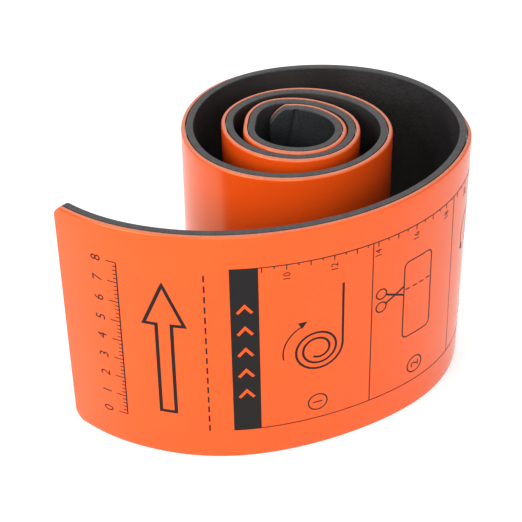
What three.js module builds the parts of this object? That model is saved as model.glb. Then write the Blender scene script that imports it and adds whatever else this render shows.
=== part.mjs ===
// A foam splint with a soft aluminium core, loosely rolled up and standing on its long edge.
// Millimetres, +Z up. The strip runs from its inner end, in the middle of the roll, to its free end.
import * as THREE from 'three';

// The flat strip.
const STRIP_LENGTH = 914.4;
const STRIP_WIDTH = 114.3;
const CORNER_RADIUS = 8;
const CORNER_STEPS = 6;
const CORNER_CLEARANCE = 1;

// The laminate, from the inside of the roll to the outside.
const GREY_FOAM = 3.1;
const CORE_SHEET = 0.4;
const ORANGE_FOAM = 1.7;
const LAYER_GAP = 0.1;
const CORE_INSET = 0.3;
const GREY_EDGE_ROUND = 0.6;
const ORANGE_EDGE_ROUND = 1.2;
const MOST_OF_A_LAYER = 0.8;

// The roll. Radii are those of the core sheet.
const INNERMOST_RADIUS = 16;
const TURN_GAP = 0.3;
const ROLL_WIDTH = 130;
const HEADING_STEP = 7.5;
const WALK_STEP = 0.5;

// How the roll departs from an evenly wound one, from the inner end outwards.
// heading: the strip's direction in degrees, clockwise from +X as seen from above.
// slack: the radius added there to the even winding's, as a share of ROLL_WIDTH.
const WINDING = [
  { heading: -12, slack: 0.243 },
  { heading: 30, slack: 0.005 },
  { heading: 90, slack: 0.01 },
  { heading: 150, slack: -0.015 },
  { heading: 210, slack: 0.064 },
  { heading: 270, slack: 0.003 },
  { heading: 330, slack: -0.013 },
  { heading: 390, slack: 0.066 },
  { heading: 450, slack: 0 },
  { heading: 510, slack: -0.008 },
  { heading: 570, slack: 0.08 },
  { heading: 630, slack: -0.013 },
  { heading: 690, slack: 0.052 },
  { heading: 750, slack: 0.102 },
  { heading: 810, slack: 0 },
  { heading: 870, slack: 0.134 },
  { heading: 930, slack: 0.111 },
  { heading: 990, slack: 0.078 },
  { heading: 1050, slack: 0.213 },
  { heading: 1110, slack: 0.278 },
  { heading: 1170, slack: 0.063 },
  { heading: 1215, slack: 0.432 },
  { heading: 1245, slack: 0.814 },
  { heading: 1275, slack: 0.356 },
  { heading: 1305, slack: 0.457 },
];

const LAMINATE = GREY_FOAM + CORE_SHEET + ORANGE_FOAM + 2 * LAYER_GAP;
const TURN_PITCH = LAMINATE + TURN_GAP;
const DEGREES = Math.PI / 180;

// Each layer's inner and outer face, as distances outwards from the middle of the core sheet.
const LAYERS = {
  grey_foam_face: {
    inner: -CORE_SHEET / 2 - LAYER_GAP - GREY_FOAM,
    outer: -CORE_SHEET / 2 - LAYER_GAP,
    inset: 0,
  },
  aluminium_core: {
    inner: -CORE_SHEET / 2,
    outer: CORE_SHEET / 2,
    inset: CORE_INSET,
  },
  orange_foam_face: {
    inner: CORE_SHEET / 2 + LAYER_GAP,
    outer: CORE_SHEET / 2 + LAYER_GAP + ORANGE_FOAM,
    inset: 0,
  },
};

const MATERIALS = {
  grey_foam_face: new THREE.MeshStandardMaterial({ color: 0x3f3e42, roughness: 0.85, metalness: 0 }),
  aluminium_core: new THREE.MeshStandardMaterial({ color: 0xb9bcc0, roughness: 0.4, metalness: 1 }),
  orange_foam_face: new THREE.MeshStandardMaterial({ color: 0xf2581c, roughness: 0.35, metalness: 0 }),
};

function windingSlack(heading) {
  const next = WINDING.findIndex((row) => row.heading > heading);
  if (next === -1) return WINDING[WINDING.length - 1].slack;
  if (next === 0) return WINDING[0].slack;
  const before = WINDING[next - 1];
  const after = WINDING[next];
  const share = (heading - before.heading) / (after.heading - before.heading);
  return before.slack + share * (after.slack - before.slack);
}

function windingRadius(heading) {
  const turns = (heading - WINDING[0].heading) / 360;
  return INNERMOST_RADIUS + turns * TURN_PITCH + windingSlack(heading) * ROLL_WIDTH;
}

// Walks along the core sheet in small steps of heading, from the inner end to past the free end.
function walkRoll() {
  const walk = [{ along: 0, x: 0, y: 0, heading: WINDING[0].heading }];
  let last = walk[0];
  while (last.along < STRIP_LENGTH) {
    const middle = last.heading + WALK_STEP / 2;
    const length = windingRadius(middle) * WALK_STEP * DEGREES;
    last = {
      along: last.along + length,
      x: last.x + length * Math.cos(middle * DEGREES),
      y: last.y - length * Math.sin(middle * DEGREES),
      heading: last.heading + WALK_STEP,
    };
    walk.push(last);
  }
  return walk;
}

function placeAlong(walk, along) {
  const next = Math.max(1, walk.findIndex((point) => point.along >= along));
  const before = walk[next - 1];
  const after = walk[next];
  const share = (along - before.along) / (after.along - before.along);
  return {
    along,
    x: THREE.MathUtils.lerp(before.x, after.x, share),
    y: THREE.MathUtils.lerp(before.y, after.y, share),
    heading: THREE.MathUtils.lerp(before.heading, after.heading, share),
  };
}

// The length along the strip at which it points in a heading.
function lengthAtHeading(walk, heading) {
  return walk[Math.round((heading - walk[0].heading) / WALK_STEP)].along;
}

// The places along the strip where a section is drawn: even steps of heading, so that the flats of
// one turn lie parallel to those of the next, and closer steps round the corners at both ends.
function stationLengths(walk) {
  const lengths = [];
  for (let i = 0; i <= CORNER_STEPS; i += 1) {
    const fromEnd = CORNER_RADIUS * (1 - Math.cos((i / CORNER_STEPS) * (Math.PI / 2)));
    lengths.push(fromEnd, STRIP_LENGTH - fromEnd);
  }
  const clear = CORNER_RADIUS + CORNER_CLEARANCE;
  const firstStep = Math.ceil(walk[0].heading / HEADING_STEP) * HEADING_STEP;
  const lastHeading = walk[walk.length - 1].heading;
  for (let heading = firstStep; heading <= lastHeading; heading += HEADING_STEP) {
    const along = lengthAtHeading(walk, heading);
    if (along > clear && along < STRIP_LENGTH - clear) lengths.push(along);
  }
  return lengths.sort((a, b) => a - b);
}

// How far the long edges draw in, at a distance from the nearer end, to round the corners.
function edgeDraw(fromEnd, inset) {
  const radius = CORNER_RADIUS - inset;
  const reach = Math.max(0, CORNER_RADIUS - fromEnd);
  return inset + radius - Math.sqrt(Math.max(0, radius * radius - reach * reach));
}

// One layer's section as [outwards, up] pairs, with the two edges on its open side rounded.
function layerSection(name, bottom, top) {
  const { inner, outer } = LAYERS[name];
  if (name === 'aluminium_core') {
    return [[inner, bottom], [outer, bottom], [outer, top], [inner, top]];
  }
  const openSide = name === 'orange_foam_face' ? outer : inner;
  const bondSide = name === 'orange_foam_face' ? inner : outer;
  const wanted = name === 'orange_foam_face' ? ORANGE_EDGE_ROUND : GREY_EDGE_ROUND;
  const round = Math.min(wanted, MOST_OF_A_LAYER * Math.abs(outer - inner));
  const centre = openSide - Math.sign(openSide) * round;
  const points = [[bondSide, bottom]];
  for (const angle of [-90, -45, 0]) {
    const out = centre + Math.sign(openSide) * round * Math.cos(angle * DEGREES);
    points.push([out, bottom + round + round * Math.sin(angle * DEGREES)]);
  }
  for (const angle of [0, 45, 90]) {
    const out = centre + Math.sign(openSide) * round * Math.cos(angle * DEGREES);
    points.push([out, top - round + round * Math.sin(angle * DEGREES)]);
  }
  points.push([bondSide, top]);
  return openSide > 0 ? points : points.reverse();
}

// Joins matching sections into one closed body with flat ends.
function loftSections(sections) {
  const count = sections[0].length;
  const positions = sections.flat(2);
  const faces = [];
  for (let ring = 0; ring < sections.length - 1; ring += 1) {
    for (let i = 0; i < count; i += 1) {
      const a = ring * count + i;
      const b = ring * count + ((i + 1) % count);
      faces.push(a, b, b + count, a, b + count, a + count);
    }
  }
  const lastRing = (sections.length - 1) * count;
  for (let i = 1; i < count - 1; i += 1) {
    faces.push(0, i + 1, i);
    faces.push(lastRing, lastRing + i, lastRing + i + 1);
  }
  const geometry = new THREE.BufferGeometry();
  geometry.setAttribute('position', new THREE.Float32BufferAttribute(positions, 3));
  geometry.setIndex(faces);
  geometry.computeVertexNormals();
  return geometry;
}

function layerMesh(name, walk, lengths) {
  const { inset } = LAYERS[name];
  const sections = lengths.map((length) => {
    const along = Math.min(Math.max(length, inset), STRIP_LENGTH - inset);
    const place = placeAlong(walk, along);
    const draw = edgeDraw(Math.min(along, STRIP_LENGTH - along), inset);
    const outX = Math.sin(place.heading * DEGREES);
    const outY = Math.cos(place.heading * DEGREES);
    const section = layerSection(name, draw, STRIP_WIDTH - draw);
    return section.map(([out, up]) => [place.x + out * outX, place.y + out * outY, up]);
  });
  const mesh = new THREE.Mesh(loftSections(sections), MATERIALS[name]);
  mesh.name = name;
  return mesh;
}

const splint = new THREE.Group();
const walk = walkRoll();
const lengths = stationLengths(walk);
for (const name of Object.keys(LAYERS)) {
  splint.add(layerMesh(name, walk, lengths));
}

// The origin is on the ground, in the middle of the roll and its tail together.
const middle = new THREE.Box3().setFromObject(splint).getCenter(new THREE.Vector3());
splint.position.set(-middle.x, -middle.y, 0);

export default splint;
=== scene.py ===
"""A foam splint with a soft metal core, loosely rolled up and standing on its long edge.

Metres, +Z up. A place on the strip is given by its distance along from the inner end, how far
it lies outwards from the middle of the core sheet, and its height above the ground.
"""
import math

import bmesh
import bpy
import numpy as np
from mathutils import Matrix, Vector


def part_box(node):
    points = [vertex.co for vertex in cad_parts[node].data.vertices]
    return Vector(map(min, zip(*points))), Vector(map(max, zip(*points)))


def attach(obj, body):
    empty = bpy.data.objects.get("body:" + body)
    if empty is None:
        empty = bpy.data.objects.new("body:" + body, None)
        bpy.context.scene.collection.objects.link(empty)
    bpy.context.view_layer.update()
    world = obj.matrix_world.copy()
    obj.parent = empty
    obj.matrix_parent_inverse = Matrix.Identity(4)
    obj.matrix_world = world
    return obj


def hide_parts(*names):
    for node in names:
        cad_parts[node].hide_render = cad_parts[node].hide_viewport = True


MM = 0.001

# The flat strip and the thickness of its layers, as in the frame.
STRIP_LENGTH = 914.4 * MM
STRIP_WIDTH = 114.3 * MM
GREY_FOAM = 3.1 * MM
CORE_SHEET = 0.4 * MM
ORANGE_FOAM = 1.7 * MM
LAYER_GAP = 0.1 * MM

# The strip's corners, with a flatness that is 1 for arcs and more for flatter curves.
INNER_CORNER = 7 * MM
FREE_CORNER = 4.6 * MM
CORNER_FLATNESS = 1.5

# How far the inner end is set back, how much more its orange foam is, and how far the core is drawn
# in all round.
INNER_END = 1.3 * MM
ORANGE_TUCK = 0.5 * MM
CORE_INSET = 1.8 * MM

# How far the cut edges are rounded.
GREY_EDGE_ROUND = 0.6 * MM
ORANGE_EDGE_ROUND = 1.1 * MM
CORE_EDGE_ROUND = 0.1 * MM

# The roll. Radii are those of the core sheet.
INNERMOST_RADIUS = 16 * MM
TURN_GAP = 0.3 * MM
ROLL_WIDTH = 130 * MM
LAST_HEADING = 1400

# Degrees of heading from one step of the walk to the next, and from one column of the mesh to the
# next, with finer columns up to a heading near the inner end, and how many steps a corner has.
WALK_STEP = 0.5
STATION_STEP = 1.5
FINE_STEP = 0.5
FINE_UNTIL = 30
CORNER_STEPS = 8

# Edges that bend by more degrees than this are shaded sharp.
SHARP_ANGLE = 40

# Heading of the strip in degrees, clockwise from +X as seen from above: the radius added there to
# an even winding's, as a share of ROLL_WIDTH. A program found these shares, by fitting the roll to
# the photo.
WINDING = {
    -12: 0.243,
    30: 0.005,
    90: 0.01,
    150: -0.015,
    210: 0.064,
    270: 0.003,
    330: -0.013,
    390: 0.066,
    450: 0,
    510: -0.008,
    570: 0.08,
    630: -0.013,
    690: 0.052,
    750: 0.102,
    810: 0,
    870: 0.134,
    930: 0.111,
    990: 0.078,
    1050: 0.213,
    1110: 0.278,
    1170: 0.063,
    1215: 0.432,
    1245: 0.814,
    1275: 0.356,
    1305: 0.457,
}

# How the walls depart from the even upright ones above, in millimetres by heading: how far they lie
# outwards in the wound turns, how far their upper and lower edges do so in the loose outer turn, and
# how far the inner end stands up.
WOUND_LEAN = {
    -12: 0.2, 5: 1.4, 20: 1.3, 35: 0.8, 80: 0.8, 95: 0.6, 110: 0.2, 130: 0, 165: -0.3, 225: -0.6,
    240: -1.2, 255: -2.4, 270: -3.6, 285: -3.3, 300: -2.5, 315: -1.5, 328: -0.5, 340: 0, 395: 0.3,
    410: 0.8, 425: 1.0, 440: 0.7, 455: 0.4, 470: 0, 585: -0.4, 600: -0.9, 630: -1.0, 645: -0.3,
    660: 0,
}
UPPER_LEAN = WOUND_LEAN | {
    950: 0, 965: -0.7, 990: -0.9, 1005: -0.6, 1015: 0, 1030: 1.2, 1045: 2.0, 1058: 1.7, 1072: 1.2,
    1085: 1.3, 1097: 1.9, 1108: 2.6, 1115: 3.0, 1125: 2.7, 1135: 2.4, 1143: 1.9, 1150: 1.4,
    1160: 1.0, 1172: 0.7, 1180: 0.6, 1200: 0, 1244: 0, 1252: -0.5, 1260: -0.7, 1268: -1.1,
    1276: -1.4, 1284: -0.8, 1292: -0.5, 1300: -0.2,
}
LOWER_LEAN = WOUND_LEAN | {
    1150: 0, 1180: 0.1, 1188: 0.7, 1196: 1.4, 1204: 1.9, 1212: 1.8, 1220: 1.1, 1228: 0.5,
    1236: 0.2, 1244: 0.9, 1252: 1.7, 1260: 1.8, 1268: 1.3, 1276: 0.4, 1292: 0.6, 1300: 0.1,
}
RISE = {-12: 0.7, 5: 0.7, 20: 0.4, 35: 0.2, 50: 0}

# Degrees of heading to either side over which the tables by heading are smoothed.
SMOOTHING = 16

TURN_PITCH = GREY_FOAM + CORE_SHEET + ORANGE_FOAM + 2 * LAYER_GAP + TURN_GAP

# Faces of the layers, outwards from the middle of the core sheet.
GREY_FACE = -CORE_SHEET / 2 - LAYER_GAP - GREY_FOAM
GREY_BOND = -CORE_SHEET / 2 - LAYER_GAP
ORANGE_BOND = CORE_SHEET / 2 + LAYER_GAP
ORANGE_FACE = CORE_SHEET / 2 + LAYER_GAP + ORANGE_FOAM

# How low the upper edges of the orange foam and the core lie, in millimetres by heading, and how far
# down the strip this fades out.
EDGE_DROP = {
    1000: 0, 1030: 0.3, 1045: 0.8, 1058: 1.2, 1080: 1.5, 1110: 1.7, 1125: 2.0, 1140: 2.6, 1150: 3.0,
    1160: 2.6, 1175: 1.2, 1190: 0,
}
EDGE_DROP_REACH = 12 * MM

# How much of the orange foam's paler cut edge, with its painted highlight, takes the skin's colour, by
# heading.
PALE_EDGE_TRIM = {1090: 0, 1125: 0.11, 1300: 0.12}

# Slight waviness of the foam faces: how high the waves stand, and the lengths along, up and aslant in
# which they turn by one radian.
SLOW_WAVE = {"height": 0.045 * MM, "along": 37 * MM, "up": 29 * MM}
QUICK_WAVE = {"height": 0.018 * MM, "along": 13 * MM, "up": 17 * MM, "slant": 61 * MM}

# Creases of the grey skin in the tight turns near the inner end.
# along: where the crease meets mid height, lean: how far it moves along per height.
CREASES = (
    {"along": 3.2 * MM, "lean": 0.18, "depth": 0.8 * MM, "width": 0.9 * MM},
    {"along": 15.5 * MM, "lean": -0.03, "depth": 0.10 * MM, "width": 1.6 * MM},
    {"along": 24.0 * MM, "lean": 0.05, "depth": 0.08 * MM, "width": 1.3 * MM},
    {"along": 52.0 * MM, "lean": 0.02, "depth": 0.12 * MM, "width": 1.4 * MM},
    {"along": 71.0 * MM, "lean": -0.04, "depth": 0.10 * MM, "width": 1.5 * MM},
)

# The ink on the orange face: how far it is lifted, how thick it is, and the steps of its lines, in
# metres, and of its arcs, in degrees.
INK_LIFT = 0.03 * MM
INK_DEPTH = 0.02 * MM
INK_STEP = 2 * MM
ARC_STEP = 9

# Places and sizes in the print. Distances are from the free end. A digit's height is a share of its
# type size.
FRAME_LOW = 15.1 * MM
FRAME_HIGH = 99.2 * MM
BAND_START = 77.1 * MM
BAND_WIDTH = 11.5 * MM
PANEL_LENGTH = 49 * MM
PANEL_COUNT = 4
FINE_LINE = 0.45 * MM
DRAWN_LINE = 0.6 * MM
DIGIT_SHARE = 0.7

# Sizes of the foam's blotches and of the patches and cells on its cut edges, and depths of relief.
BLOTCH = 23 * MM
EDGE_PATCH = 3.5 * MM
CELL = 0.55 * MM
CELL_RELIEF = 0.12
FULL_RELIEF = 0.5 * MM
FAINT_RELIEF = 0.01 * MM

# The camera's place in the frame, its angles in degrees, and its lens and sensor in millimetres. The
# same fit as the winding's found them.
CAMERA_PLACE = (-4.36 * MM, -540.76 * MM, 443.52 * MM)
CAMERA_PITCH = 35.88
CAMERA_ROLL = -1.134
CAMERA_LENS = 101.77
CAMERA_SENSOR = 36

# Light. The floor glows a little, as a lit table does. A program found the world's light and the
# powers of the lamps, by fitting the render's colours to the photo's.
WORLD_LIGHT = 0.593
FLOOR_GLOW = 0.52
FLOOR_COLOUR = (0.6, 0.6, 0.6, 1)
FLOOR_RADIUS = 3
LAMPS = {
    "key": {"place": (-0.9, -0.8, 0.8), "size": 0.9, "power": 11.8},
    "front": {"place": (0.0, -1.2, 0.8), "size": 0.9, "power": 7.1},
    "fill": {"place": (0.9, -0.8, 0.8), "size": 0.9, "power": 2.1},
    "back": {"place": (0.0, 1.2, 0.8), "size": 0.9, "power": 6.2},
}


class Roll:
    """The core sheet's line, walked in small steps of heading from the inner end."""

    def __init__(self):
        first = min(WINDING)
        steps = np.arange(first, LAST_HEADING, WALK_STEP)
        middles = steps + WALK_STEP / 2
        slack = np.interp(middles, list(WINDING), list(WINDING.values())) * ROLL_WIDTH
        radius = INNERMOST_RADIUS + (middles - first) / 360 * TURN_PITCH + slack
        length = radius * math.radians(WALK_STEP)
        self.along = np.concatenate(([0], np.cumsum(length)))
        self.x = np.concatenate(([0], np.cumsum(length * np.cos(np.radians(middles)))))
        self.y = np.concatenate(([0], np.cumsum(-length * np.sin(np.radians(middles)))))
        self.heading = np.append(steps, steps[-1] + WALK_STEP)

        self.upper = self.eased(UPPER_LEAN) * MM
        self.lower = self.eased(LOWER_LEAN) * MM
        self.rise = self.eased(RISE) * MM

    def eased(self, table):
        """A table by heading read along the whole line, with its corners smoothed."""
        values = np.interp(self.heading, list(table), list(table.values()))
        half = round(SMOOTHING / WALK_STEP)
        window = np.hanning(2 * half + 1)
        padded = np.pad(values, half, mode="edge")
        return np.convolve(padded, window / window.sum(), mode="valid")

    def upright(self, along, out):
        """The x and y of points of the strip as if its walls stood upright."""
        heading = np.radians(np.interp(along, self.along, self.heading))
        x = np.interp(along, self.along, self.x) + out * np.sin(heading)
        y = np.interp(along, self.along, self.y) + out * np.cos(heading)
        return x, y

    def place(self, along, out, up):
        """Points of the strip as an array of x, y and z in its last axis."""
        upper = np.interp(along, self.along, self.upper)
        lower = np.interp(along, self.along, self.lower)
        x, y = self.upright(along, out + lower + (upper - lower) * up / STRIP_WIDTH)
        z = up + np.interp(along, self.along, self.rise)
        return np.stack(np.broadcast_arrays(x, y, z), axis=-1)

    def centre_on(self, box):
        """Moves the line so that the roll's faces lie in the middle of a box."""
        inside = self.along[self.along <= STRIP_LENGTH]
        faces = [np.array(self.upright(inside, out)) for out in (GREY_FACE, ORANGE_FACE)]
        points = np.concatenate(faces, axis=1)
        low, high = box
        self.x += (low[0] + high[0] - points[0].min() - points[0].max()) / 2
        self.y += (low[1] + high[1] - points[1].min() - points[1].max()) / 2


def wobble(along, up):
    """Slight waviness of the foam faces, outwards."""
    slow = np.sin(along / SLOW_WAVE["along"] + 1.3) * np.sin(up / SLOW_WAVE["up"] + 0.4)
    slant = up / QUICK_WAVE["up"] + along / QUICK_WAVE["slant"]
    quick = np.sin(along / QUICK_WAVE["along"] + 2.1) * np.sin(slant)
    return SLOW_WAVE["height"] * slow + QUICK_WAVE["height"] * quick


def crease_relief(along, up):
    """How far the grey skin is pressed in at its creases, outwards."""
    depth = np.zeros(np.shape(along))
    for crease in CREASES:
        middle = crease["along"] + crease["lean"] * (up - STRIP_WIDTH / 2)
        depth = depth + crease["depth"] * np.exp(-(((along - middle) / crease["width"]) ** 2))
    return depth


def station_columns(roll, tuck):
    """Where the strip's columns stand: along, and the share of a corner's quarter turn passed there."""
    corner = [math.radians(90 * i / CORNER_STEPS) for i in range(CORNER_STEPS + 1)]
    fine = np.arange(min(WINDING), FINE_UNTIL, FINE_STEP)
    headings = np.append(fine, np.arange(FINE_UNTIL, LAST_HEADING, STATION_STEP))
    stations = np.interp(headings, roll.heading, roll.along)
    first = INNER_END + tuck + INNER_CORNER
    last = STRIP_LENGTH - FREE_CORNER
    stations = stations[(stations > first + MM) & (stations < last - MM)]
    along = np.concatenate(([first] * len(corner), stations, [last] * len(corner)))
    turn = np.concatenate(([-a for a in reversed(corner)], np.zeros(len(stations)), corner))
    return along, turn


def plate_grid(columns, rows, inset):
    """The along and up values of a grid over the strip, drawn in all round by an inset."""
    along, turn = columns
    corner = np.where(turn < 0, INNER_CORNER, FREE_CORNER)
    radius = corner - inset
    reach = radius * np.sign(turn) * np.abs(np.sin(turn)) ** CORNER_FLATNESS
    half = STRIP_WIDTH / 2 - corner + radius * np.abs(np.cos(turn)) ** CORNER_FLATNESS
    share = np.linspace(-1, 1, rows)
    up = STRIP_WIDTH / 2 + half[:, None] * share[None, :]
    return np.broadcast_to((along + reach)[:, None], up.shape), up


def border(columns, rows):
    """Grid places round the edge of a grid, once round."""
    ring = [(i, 0) for i in range(columns)]
    ring += [(columns - 1, j) for j in range(1, rows)]
    ring += [(i, rows - 1) for i in range(columns - 2, -1, -1)]
    ring += [(0, j) for j in range(rows - 2, 0, -1)]
    return tuple(np.array(ring).T)


def edge_levels(bond, face, rounding, steps=6):
    """Inset and outward place of each loop down a layer's edge, from its face to its bond side."""
    sign = math.copysign(1, face - bond)
    levels = []
    for i in range(steps + 1):
        angle = math.radians(90 * i / steps)
        levels.append((rounding * (1 - math.sin(angle)), face - sign * rounding * (1 - math.cos(angle))))
    levels.append((0.0, bond))
    return levels


def grid_quads(index):
    """Quads over a grid of vertex numbers, facing inwards in the roll."""
    corners = (index[:-1, :-1], index[1:, :-1], index[1:, 1:], index[:-1, 1:])
    return np.stack([c.ravel() for c in corners], axis=-1)


def layer_mesh(
    name, roll, bond, face, rounding, rows=25, inset=0, tuck=0, skin=None, relief=None, drop=None
):
    """One layer of the laminate as a closed mesh. The attribute "cut" is 1 on its cut edge.

    Inset draws the layer in all round, and tuck sets its inner end back. Skin, relief and drop are
    functions of the place: how much of the cut edge's paler colour, with its painted highlight, takes
    the skin's colour, how far the face is pressed in, and how far the layer lies low.
    """
    columns = station_columns(roll, tuck)
    count = len(columns[0])
    ring = border(count, rows)
    levels = edge_levels(bond, face, rounding)
    points, cut, flat = [], [], []

    def add(along, up, out, edge):
        moved = out + wobble(along, up)
        if relief is not None:
            moved = moved + relief(along, up) * (1 - edge)
        height = up if drop is None else up - drop(along, up)
        points.append(roll.place(along, moved, height).reshape(-1, 3))
        flat.append(np.stack((along, up), axis=-1).reshape(-1, 2))
        cut.append(np.broadcast_to(edge, along.shape).ravel())

    along, up = plate_grid(columns, rows, inset + levels[0][0])
    add(along, up, levels[0][1], 0.0)
    for drawn, out in levels[1:-1]:
        along, up = plate_grid(columns, rows, inset + drawn)
        # Where the trim is high, less of the rounded edge takes the paler edge colour with its painted
        # highlight.
        bare = 1 if skin is None else 1 - skin(along[ring])
        add(along[ring], up[ring], out, bare * (1 - drawn / rounding))
    along, up = plate_grid(columns, rows, inset + levels[-1][0])
    add(along, up, bond, 1.0)

    index = np.arange(count * rows).reshape(count, rows)
    loops = [index[ring]]
    start = count * rows
    for _ in levels[1:-1]:
        loops.append(start + np.arange(len(ring[0])))
        start += len(ring[0])
    loops.append(start + index[ring])

    quads = [grid_quads(index), grid_quads(start + index)[:, ::-1]]
    for upper, lower in zip(loops, loops[1:]):
        quads.append(np.stack((upper, lower, np.roll(lower, -1), np.roll(upper, -1)), axis=-1))
    quads = np.concatenate(quads)
    if face > bond:
        quads = quads[:, ::-1]

    mesh = bpy.data.meshes.new(name)
    mesh.from_pydata(np.concatenate(points).tolist(), [], quads.tolist())
    mesh.attributes.new("cut", "FLOAT", "POINT").data.foreach_set("value", np.concatenate(cut))
    uv = mesh.uv_layers.new(name="strip")
    corners = np.zeros(len(mesh.loops), dtype=np.int32)
    mesh.loops.foreach_get("vertex_index", corners)
    uv.data.foreach_set("uv", np.concatenate(flat)[corners].ravel())
    mesh.validate()
    mesh.shade_smooth()
    mesh.set_sharp_from_angle(angle=math.radians(SHARP_ANGLE))
    piece = bpy.data.objects.new(name, mesh)
    bpy.context.collection.objects.link(piece)
    return piece


def edge_skin(roll):
    """A function giving how much of a layer's paler cut edge, with its painted highlight, takes the
    skin's colour.
    """
    shares = roll.eased(PALE_EDGE_TRIM)
    return lambda along: np.interp(along, roll.along, shares)


def edge_drop(roll):
    """A function giving how far a layer lies low near its upper edge."""
    depths = roll.eased(EDGE_DROP) * MM

    def drop(along, up):
        depth = np.interp(along, roll.along, depths)
        near = np.clip((up - (STRIP_WIDTH - EDGE_DROP_REACH)) / EDGE_DROP_REACH, 0, 1)
        return depth * near * near * (3 - 2 * near)

    return drop


class Print:
    """Ink marks on the orange face, drawn flat and laid on the foam as thin slabs.

    A flat place is (back, up): the distance back from the free end, and the height. A drawing's
    own x runs up the strip and its y towards the free end, as for one who reads from below upwards.
    """

    def __init__(self, roll):
        self.roll = roll
        self.points, self.faces, self.inks = [], [], []

    def lay(self, flat, faces, ink=0):
        """Lays a flat patch on the foam as a closed slab. A second ink lies on the first."""
        flat = np.array(flat)
        level = INK_LIFT + ink * 2 * INK_DEPTH
        start = sum(len(p) for p in self.points)
        along = STRIP_LENGTH - flat[:, 0]
        face = ORANGE_FACE + wobble(along, flat[:, 1])
        for out in (face + level, face + level + INK_DEPTH):
            self.points.append(self.roll.place(along, out, flat[:, 1]))
        low, high = start, start + len(flat)
        edges = {}
        for corners in faces:
            area = sum(
                flat[a][0] * flat[b][1] - flat[b][0] * flat[a][1]
                for a, b in zip(corners, corners[1:] + corners[:1])
            )
            corners = corners if area > 0 else corners[::-1]
            self.faces.append([high + c for c in corners])
            self.faces.append([low + c for c in corners[::-1]])
            self.inks += [ink, ink]
            for a, b in zip(corners, corners[1:] + corners[:1]):
                if (b, a) in edges:
                    del edges[(b, a)]
                else:
                    edges[(a, b)] = True
        for a, b in edges:
            self.faces.append([low + a, low + b, high + b, high + a])
            self.inks.append(ink)

    def rectangle(self, back, up, ink=0):
        """A filled rectangle between two distances back and two heights."""
        count = max(1, round(abs(back[1] - back[0]) / INK_STEP))
        flat, faces = [], []
        for i in range(count + 1):
            place = back[0] + (back[1] - back[0]) * i / count
            flat += [(place, up[0]), (place, up[1])]
        for i in range(count):
            faces.append([2 * i, 2 * i + 2, 2 * i + 3, 2 * i + 1])
        self.lay(flat, faces, ink)

    def stroke(self, points, width=DRAWN_LINE, at=(0, 0), closed=False, ink=0):
        """A drawn line of even width through points of a drawing placed at (back, up)."""
        path = [Vector(p) for p in points]
        if closed:
            path.append(path[0])
        fine = [path[0]]
        for a, b in zip(path, path[1:]):
            count = max(1, math.ceil((b - a).length / INK_STEP))
            fine += [a.lerp(b, (i + 1) / count) for i in range(count)]
        if closed:
            fine.pop()
        count = len(fine)
        flat = []
        for i, point in enumerate(fine):
            before = fine[i - 1] if closed or i > 0 else None
            after = fine[(i + 1) % count] if closed or i < count - 1 else None
            into = (point - before).normalized() if before else None
            out = (after - point).normalized() if after else None
            into = into or out
            out = out or into
            side = Vector((-(into.y + out.y), into.x + out.x)).normalized()
            share = max(0.5, side.dot(Vector((-into.y, into.x))))
            for sign in (-1, 1):
                place = point + side * (sign * width / 2 / share)
                flat.append((at[0] - place.y, at[1] + place.x))
        faces = []
        for i in range(count if closed else count - 1):
            j = (i + 1) % count
            faces.append([2 * i, 2 * i + 1, 2 * j + 1, 2 * j])
        self.lay(flat, faces, ink)

    def polygon(self, points, at=(0, 0), ink=0):
        """A small filled convex shape of a drawing."""
        flat = [(at[0] - y, at[1] + x) for x, y in points]
        self.lay(flat, [list(range(len(flat)))], ink)

    def arc(self, centre, radius, angles, width=DRAWN_LINE, at=(0, 0), stretch=1.0):
        """A drawn arc, or a whole ring for 360 degrees. Stretch makes it oval across."""
        sweep = angles[1] - angles[0]
        closed = abs(sweep) >= 360
        count = max(6, math.ceil(abs(sweep) / ARC_STEP))
        points = []
        for i in range(count if closed else count + 1):
            angle = math.radians(angles[0] + sweep * i / count)
            x = centre[0] + stretch * radius * math.cos(angle)
            points.append((x, centre[1] + radius * math.sin(angle)))
        self.stroke(points, width, at, closed)

    def head(self, tip, towards, size, at=(0, 0)):
        """A filled arrow head with its tip at a point, along a direction in degrees."""
        turn = Matrix.Rotation(math.radians(towards), 2)
        corners = ((0, 0), (-size, size / 2), (-size, -size / 2))
        self.polygon([Vector(tip) + turn @ Vector(c) for c in corners], at)

    def number(self, value, height, at):
        """A plain number, centred on a place."""
        curve = bpy.data.curves.new("number", "FONT")
        curve.body = str(value)
        curve.size = height / DIGIT_SHARE
        curve.align_x = "CENTER"
        curve.resolution_u = 3
        holder = bpy.data.objects.new("number", curve)
        bpy.context.collection.objects.link(holder)
        mesh = bpy.data.meshes.new_from_object(holder)
        work = bmesh.new()
        work.from_mesh(mesh)
        bmesh.ops.remove_doubles(work, verts=work.verts, dist=height * 1e-4)
        work.verts.index_update()
        flat = [(at[0] - (v.co.y - height / 2), at[1] + v.co.x) for v in work.verts]
        faces = [[v.index for v in face.verts] for face in work.faces]
        self.lay(flat, faces)
        work.free()
        bpy.data.objects.remove(holder)
        bpy.data.curves.remove(curve)
        bpy.data.meshes.remove(mesh)

    def piece(self, name):
        """All marks as one object."""
        mesh = bpy.data.meshes.new(name)
        mesh.from_pydata(np.concatenate(self.points).tolist(), [], self.faces)
        mesh.polygons.foreach_set("material_index", self.inks)
        mesh.validate()
        piece = bpy.data.objects.new(name, mesh)
        bpy.context.collection.objects.link(piece)
        return piece


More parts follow.
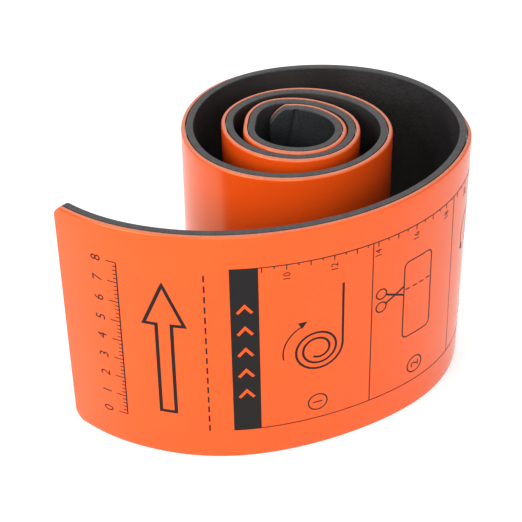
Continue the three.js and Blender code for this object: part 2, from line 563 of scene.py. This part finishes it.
def print_end_scale(marks):
    """A centimetre scale across the strip near its free end."""
    base, length, step = 31 * MM, 80 * MM, 2 * MM
    first = STRIP_WIDTH / 2 - length / 2
    marks.stroke([(first, -base), (first + length, -base)], DRAWN_LINE)
    for i in range(round(length / step) + 1):
        tick = 4.5 * MM if i % 5 == 0 else 1.8 * MM
        up = first + i * step
        marks.stroke([(up, -base), (up, tick - base)], FINE_LINE)
    for centimetre in range(9):
        up = first + 10 * centimetre * MM
        marks.number(centimetre, 4.6 * MM, (base - 9.5 * MM, up))


def print_arrow(marks):
    """A large open arrow across the strip."""
    length, head, half, shaft = 66 * MM, 20 * MM, 8.5 * MM, 3.2 * MM
    back = 50 * MM
    outline = [(0, -shaft), (length - head, -shaft), (length - head, -half), (length, 0)]
    outline += [(x, -y) for x, y in reversed(outline[:3])]
    marks.stroke(outline, 1.5 * MM, (back, STRIP_WIDTH / 2 - length / 2), closed=True)


def print_fold_line(marks):
    """A dashed line across the strip."""
    pitch, dash, count, back = 5.2 * MM, 3.2 * MM, 16, 67 * MM
    for i in range(count):
        up = FRAME_LOW + i * pitch
        marks.stroke([(up, -back), (up + dash, -back)], 0.7 * MM)


def print_band(marks):
    """The dark band, with a row of open chevrons in the foam's own colour."""
    back = (BAND_START, BAND_START + BAND_WIDTH)
    marks.rectangle(back, (FRAME_LOW, FRAME_HIGH))
    middle = (back[0] + back[1]) / 2
    for i in range(5):
        up = (FRAME_LOW + FRAME_HIGH) / 2 + (i - 2) * 11 * MM
        chevron = [(-2 * MM, 3 * MM), (1.6 * MM, 0), (-2 * MM, -3 * MM)]
        marks.stroke(chevron, 1.3 * MM, (middle, up), ink=1)


def print_frame(marks):
    """Fine lines along the print, closed at its far end, with a scale along the upper one."""
    start = BAND_START + BAND_WIDTH
    end = start + PANEL_COUNT * PANEL_LENGTH
    half = FINE_LINE / 2
    for up in (FRAME_LOW + half, FRAME_HIGH - half):
        marks.rectangle((start, end), (up - half, up + half))
    for i in range(1, PANEL_COUNT + 1):
        back = start + i * PANEL_LENGTH
        marks.rectangle((back - half, back + half), (FRAME_LOW, FRAME_HIGH))
    for i in range(math.ceil(start / (5 * MM)), math.ceil(end / (5 * MM))):
        back = 5 * i * MM
        tick = 2.6 * MM if i % 2 == 0 else 1.4 * MM
        marks.rectangle((back - half, back + half), (FRAME_HIGH - tick, FRAME_HIGH))
        if i % 4 == 0:
            marks.number(i // 2, 3 * MM, (back, FRAME_HIGH - 6 * MM))


def draw_unroll(marks, at):
    """A strip drawn from the side, being unrolled."""
    middle, inner, outer = -9 * MM, 4, 11
    steps, turn = 60, 14
    points = []
    for i in range(steps + 1):
        angle = math.radians(-90 - turn * (steps - i))
        radius = (inner + (outer - inner) * i / steps) * MM
        points.append((radius * math.cos(angle) + middle, radius * math.sin(angle)))
    points.append((22 * MM, points[-1][1]))
    marks.stroke(points, 1.0 * MM, at)
    marks.arc((middle, 0), 15 * MM, (100, 25), DRAWN_LINE, at)
    marks.head((6.5 * MM, 4.6 * MM), -62, 3.6 * MM, at)


def draw_cut(marks, at):
    """A strip seen flat with a dashed line across it and a pair of scissors."""
    long, half, bend = 20 * MM, 8 * MM, 2.5 * MM
    outline = []
    for x, y, first in ((long, half, 0), (-long, half, 90), (-long, -half, 180), (long, -half, 270)):
        for step in (0, 30, 60, 90):
            angle = math.radians(first + step)
            centre = (x - math.copysign(bend, x), y - math.copysign(bend, y))
            outline.append((centre[0] + bend * math.cos(angle), centre[1] + bend * math.sin(angle)))
    marks.stroke(outline, DRAWN_LINE, at, closed=True)
    for i in range(4):
        low = (-7.3 + 4 * i) * MM
        marks.stroke([(6 * MM, low), (6 * MM, low + 2.4 * MM)], DRAWN_LINE, at)
    pivot = (6 * MM, 13.5 * MM)
    for sign in (-1, 1):
        ring = (pivot[0] + sign * 3.4 * MM, pivot[1] + 6.4 * MM)
        marks.arc(ring, 2.5 * MM, (0, 360), DRAWN_LINE, at)
        tip = (pivot[0] - sign * 2.2 * MM, pivot[1] - 5.4 * MM)
        marks.stroke([(ring[0] - sign * 1.1 * MM, ring[1] - 2.3 * MM), tip], 0.9 * MM, at)


def draw_fold(marks, at):
    """A strip drawn from the side with its end folded back on itself."""
    fold, bend = 12, 3.4
    points = [(-22 * MM, -4 * MM), (fold * MM, -4 * MM)]
    for step in range(-80, 81, 10):
        angle = math.radians(step)
        points.append(((fold + bend * math.cos(angle)) * MM, (-0.6 + bend * math.sin(angle)) * MM))
    points += [(fold * MM, 2.8 * MM), (0, 2.8 * MM)]
    marks.stroke(points, 1.4 * MM, at)
    marks.arc((8 * MM, 1 * MM), 12 * MM, (0, 120), DRAWN_LINE, at)
    marks.head((0.6 * MM, 10.4 * MM), 212, 3.6 * MM, at)


def draw_wrap(marks, at):
    """A plain round bar with a strip laid along it and bands round both."""
    half, end = 7 * MM, 22 * MM
    for x in (-end, end):
        marks.arc((x, 0), half, (0, 360) if x > 0 else (90, 270), DRAWN_LINE, at, stretch=0.35)
    for y in (-half, half):
        marks.stroke([(-end, y), (end, y)], DRAWN_LINE, at)
    marks.stroke([(-17 * MM, -half - 1.6 * MM), (17 * MM, -half - 1.6 * MM)], 1.5 * MM, at)
    for x in (-11 * MM, 0, 11 * MM):
        for side in (-1.6 * MM, 1.6 * MM):
            marks.arc((x + side, 0), half + 2.6 * MM, (-90, 90), DRAWN_LINE, at, stretch=0.3)


def print_panels(marks):
    """Numbered panels that show how a strip is unrolled, cut, folded and laid on."""
    for i, draw in enumerate((draw_unroll, draw_cut, draw_fold, draw_wrap)):
        back = BAND_START + BAND_WIDTH + (i + 0.5) * PANEL_LENGTH
        marks.arc((0, 0), 4.2 * MM, (0, 360), DRAWN_LINE, (back, FRAME_LOW + 9 * MM))
        marks.number(i + 1, 4.4 * MM, (back, FRAME_LOW + 9 * MM))
        draw(marks, (back, FRAME_LOW + 47 * MM))


class Shader:
    """A material's node tree, built up by short calls."""

    def __init__(self, name, **values):
        self.material = bpy.data.materials.new(name)
        self.material.use_nodes = True
        self.tree = self.material.node_tree
        self.main = self.tree.nodes["Principled BSDF"]
        for socket, value in values.items():
            self.main.inputs[socket.replace("_", " ")].default_value = value

    def node(self, kind, inputs=None, **settings):
        """A node with its inputs set to values or linked to sockets."""
        node = self.tree.nodes.new(kind)
        for key, value in settings.items():
            setattr(node, key, value)
        for key, value in (inputs or {}).items():
            if isinstance(value, bpy.types.NodeSocket):
                self.tree.links.new(value, node.inputs[key])
            else:
                node.inputs[key].default_value = value
        return node

    def link(self, value, socket):
        """Links a value to a socket of the main shader."""
        self.tree.links.new(value, self.main.inputs[socket])

    def strip_place(self):
        """The place on the flat strip, in metres."""
        return self.node("ShaderNodeUVMap", uv_map="strip").outputs["UV"]

    def noise(self, place, size, detail=2.0, rough=0.5):
        """Soft noise from 0 to 1 with spots of a size."""
        inputs = {"Vector": place, "Scale": 1 / size, "Detail": detail, "Roughness": rough}
        return self.node("ShaderNodeTexNoise", inputs).outputs["Fac"]

    def cells(self, place, size):
        """The distance to the middle of the nearest of many cells of a size."""
        inputs = {"Vector": place, "Scale": 1 / size}
        return self.node("ShaderNodeTexVoronoi", inputs).outputs["Distance"]

    def span(self, value, low, high):
        """A value from 0 to 1 brought between two others, which may be sockets."""
        inputs = {"Value": value, "To Min": low, "To Max": high}
        return self.node("ShaderNodeMapRange", inputs).outputs["Result"]

    def ramp(self, value, low, high):
        """0 below one value and 1 above another, smooth between them."""
        inputs = {"Value": value, "From Min": low, "From Max": high}
        node = self.node("ShaderNodeMapRange", inputs, interpolation_type="SMOOTHSTEP")
        return node.outputs["Result"]

    def math(self, operation, a, b):
        """One step of arithmetic on two values, which may be sockets."""
        node = self.node("ShaderNodeMath", {0: a, 1: b}, operation=operation)
        return node.outputs["Value"]

    def sum(self, a, share_a, b, share_b):
        """Two values added up, each times its share."""
        return self.math("ADD", self.math("MULTIPLY", a, share_a), self.math("MULTIPLY", b, share_b))

    def mix(self, share, a, b):
        """A colour between two others."""
        node = self.node("ShaderNodeMix", data_type="RGBA")
        sockets = {s.identifier: s for s in node.inputs}
        for key, value in (("Factor_Float", share), ("A_Color", a), ("B_Color", b)):
            if isinstance(value, bpy.types.NodeSocket):
                self.tree.links.new(value, sockets[key])
            else:
                sockets[key].default_value = value
        return next(s for s in node.outputs if s.identifier == "Result_Color")

    def bump(self, height, depth):
        """Gives the surface a relief."""
        inputs = {"Height": height, "Distance": depth, "Strength": 1.0}
        self.link(self.node("ShaderNodeBump", inputs).outputs["Normal"], "Normal")


def foam_material(
    name, skin, skin_shade, edge, edge_shade, skin_rough, edge_rough, gloss, gloss_tint, grain, depth
):
    """Closed-cell foam: a smooth skin with a faint grain, and open cells where it is cut."""
    shader = Shader(name, Specular_IOR_Level=gloss, Specular_Tint=gloss_tint)
    place = shader.strip_place()
    cut = shader.node("ShaderNodeAttribute", attribute_name="cut").outputs["Fac"]
    cut = shader.ramp(cut, 0.55, 1.0)
    blotch = shader.noise(place, BLOTCH, 3.0)
    fine = shader.noise(place, grain, 3.0, 0.6)
    pits = shader.cells(shader.node("ShaderNodeNewGeometry").outputs["Position"], CELL)
    speckle = shader.sum(blotch, 0.5, fine, 0.5)
    skin_colour = shader.mix(shader.ramp(speckle, 0.42, 0.58), skin, skin_shade)
    patches = shader.noise(place, EDGE_PATCH, 4.0, 0.7)
    worn = shader.sum(pits, 0.6, patches, 0.7)
    # For the orange foam, the edge colours passed in hold a painted highlight as well as the paler
    # colour of cut foam.
    edge_colour = shader.mix(shader.ramp(worn, 0.4, 0.85), edge_shade, edge)
    shader.link(shader.mix(cut, skin_colour, edge_colour), "Base Color")
    skin_finish = shader.span(fine, skin_rough - 0.05, skin_rough + 0.07)
    shader.link(shader.span(cut, skin_finish, edge_rough), "Roughness")
    skin_height = shader.math("MULTIPLY", fine, depth)
    edge_height = shader.math("MULTIPLY", pits, CELL_RELIEF)
    shader.bump(shader.span(cut, skin_height, edge_height), FULL_RELIEF)
    return shader.material


def ink_material(name, colour, rough):
    """Printed ink, slightly uneven in its gloss."""
    shader = Shader(name, Base_Color=colour, Specular_IOR_Level=0.17)
    place = shader.node("ShaderNodeNewGeometry").outputs["Position"]
    uneven = shader.noise(place, 1.6 * MM, 3.0)
    shader.link(shader.span(uneven, rough - 0.06, rough + 0.1), "Roughness")
    shader.bump(uneven, FAINT_RELIEF)
    return shader.material


def sheet_material(name):
    """Rolled sheet metal with fine lines along the strip."""
    shader = Shader(name, Base_Color=(0.25, 0.25, 0.26, 1), Metallic=1.0)
    stretch = {"Vector": shader.strip_place(), "Scale": (40, 3000, 1)}
    lines = shader.noise(shader.node("ShaderNodeMapping", stretch).outputs["Vector"], 1.0, 2.0)
    shader.link(shader.span(lines, 0.32, 0.5), "Roughness")
    shader.bump(lines, FAINT_RELIEF)
    return shader.material


def add_lamp(name, place, size, power):
    """A round soft lamp turned to the object."""
    data = bpy.data.lights.new(name, "AREA")
    data.shape = "DISK"
    data.size = size
    data.energy = power
    lamp = bpy.data.objects.new(name, data)
    lamp.location = place
    aim = Vector((0, 0, STRIP_WIDTH / 2)) - Vector(place)
    lamp.rotation_euler = aim.to_track_quat("-Z", "Y").to_euler()
    bpy.context.collection.objects.link(lamp)


def make_grey(roll):
    """The grey foam, with its skin inside the roll."""
    grey = layer_mesh(
        "grey_foam", roll, GREY_BOND, GREY_FACE, GREY_EDGE_ROUND, rows=41, relief=crease_relief
    )
    grey.data.materials.append(
        foam_material(
            "grey foam",
            skin=(0.0090, 0.0105, 0.0112, 1),
            skin_shade=(0.0190, 0.0210, 0.0218, 1),
            edge=(0.069, 0.066, 0.069, 1),
            edge_shade=(0.037, 0.035, 0.037, 1),
            skin_rough=0.55,
            edge_rough=0.8,
            gloss=0.5,
            gloss_tint=(1, 1, 1, 1),
            grain=1.1 * MM,
            depth=0.3,
        )
    )
    return grey


def make_core(roll, low_edge):
    """The metal sheet between the foams."""
    core = layer_mesh(
        "core_sheet",
        roll,
        -CORE_SHEET / 2,
        CORE_SHEET / 2,
        CORE_EDGE_ROUND,
        inset=CORE_INSET,
        drop=low_edge,
    )
    core.data.materials.append(sheet_material("sheet metal"))
    return core


def make_orange(roll, low_edge):
    """The orange foam, with its skin outside the roll."""
    orange = layer_mesh(
        "orange_foam",
        roll,
        ORANGE_BOND,
        ORANGE_FACE,
        ORANGE_EDGE_ROUND,
        tuck=ORANGE_TUCK,
        skin=edge_skin(roll),
        drop=low_edge,
    )
    orange.data.materials.append(
        foam_material(
            "orange foam",
            skin=(0.79, 0.077, 0.0050, 1),
            skin_shade=(0.77, 0.072, 0.0046, 1),
            # The cut edge's two colours are partly the paler colour of cut foam and partly a painted
            # highlight along the rim, which makes them paler and pinker.
            edge=(0.62, 0.203, 0.125, 1),
            edge_shade=(0.52, 0.150, 0.086, 1),
            skin_rough=0.22,
            edge_rough=0.7,
            gloss=0.64,
            gloss_tint=(1, 0.93, 0.53, 1),
            grain=1.3 * MM,
            depth=0.035,
        )
    )
    return orange


def make_print(roll):
    """The ink on the orange foam."""
    marks = Print(roll)
    print_end_scale(marks)
    print_arrow(marks)
    print_fold_line(marks)
    print_band(marks)
    print_frame(marks)
    print_panels(marks)
    ink = marks.piece("printed_marks")
    ink.data.materials.append(ink_material("dark ink", (0.009, 0.008, 0.008, 1), 0.45))
    ink.data.materials.append(ink_material("orange ink", (0.77, 0.085, 0.01, 1), 0.35))
    return ink


def add_floor():
    """A plain pale floor under the object."""
    bpy.ops.mesh.primitive_circle_add(vertices=96, radius=FLOOR_RADIUS, fill_type="NGON")
    floor = bpy.context.object
    floor.name = "floor"
    shader = Shader("floor", Base_Color=FLOOR_COLOUR, Roughness=0.9)
    shader.main.inputs["Emission Color"].default_value = (1, 1, 1, 1)
    shader.main.inputs["Emission Strength"].default_value = FLOOR_GLOW
    floor.data.materials.append(shader.material)


def light_world():
    """Even white light from all round."""
    world = bpy.data.worlds.new("studio")
    bpy.context.scene.world = world
    world.use_nodes = True
    background = world.node_tree.nodes["Background"]
    background.inputs["Color"].default_value = (1, 1, 1, 1)
    background.inputs["Strength"].default_value = WORLD_LIGHT


def add_camera():
    """The camera, at the photo's angle to the object."""
    data = bpy.data.cameras.new("camera")
    data.sensor_width = CAMERA_SENSOR
    data.lens = CAMERA_LENS
    camera = bpy.data.objects.new("camera", data)
    camera.location = CAMERA_PLACE
    tilt = Matrix.Rotation(math.radians(90 - CAMERA_PITCH), 4, "X")
    turn = Matrix.Rotation(math.radians(CAMERA_ROLL), 4, "Z")
    camera.rotation_euler = (tilt @ turn).to_euler()
    bpy.context.collection.objects.link(camera)
    bpy.context.scene.camera = camera


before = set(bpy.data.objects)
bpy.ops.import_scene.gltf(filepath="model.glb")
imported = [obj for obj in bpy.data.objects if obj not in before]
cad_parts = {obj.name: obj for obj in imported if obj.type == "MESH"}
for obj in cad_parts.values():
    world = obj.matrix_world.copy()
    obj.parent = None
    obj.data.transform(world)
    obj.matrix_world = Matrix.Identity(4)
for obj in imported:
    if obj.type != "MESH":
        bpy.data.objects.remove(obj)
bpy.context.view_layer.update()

roll = Roll()
roll.centre_on(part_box("grey_foam_face"))
low_edge = edge_drop(roll)
grey = make_grey(roll)
core = make_core(roll, low_edge)
orange = make_orange(roll, low_edge)
ink = make_print(roll)

for piece, node, slot in (
    (grey, "grey_foam_face", "grey_foam"),
    (core, "aluminium_core", "soft_aluminium"),
    (orange, "orange_foam_face", "orange_foam"),
):
    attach(piece, "root")
    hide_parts(node)
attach(ink, "root")

add_floor()
light_world()
for name, lamp in LAMPS.items():
    add_lamp(name, **lamp)
bpy.context.scene.view_settings.view_transform = "Standard"
add_camera()
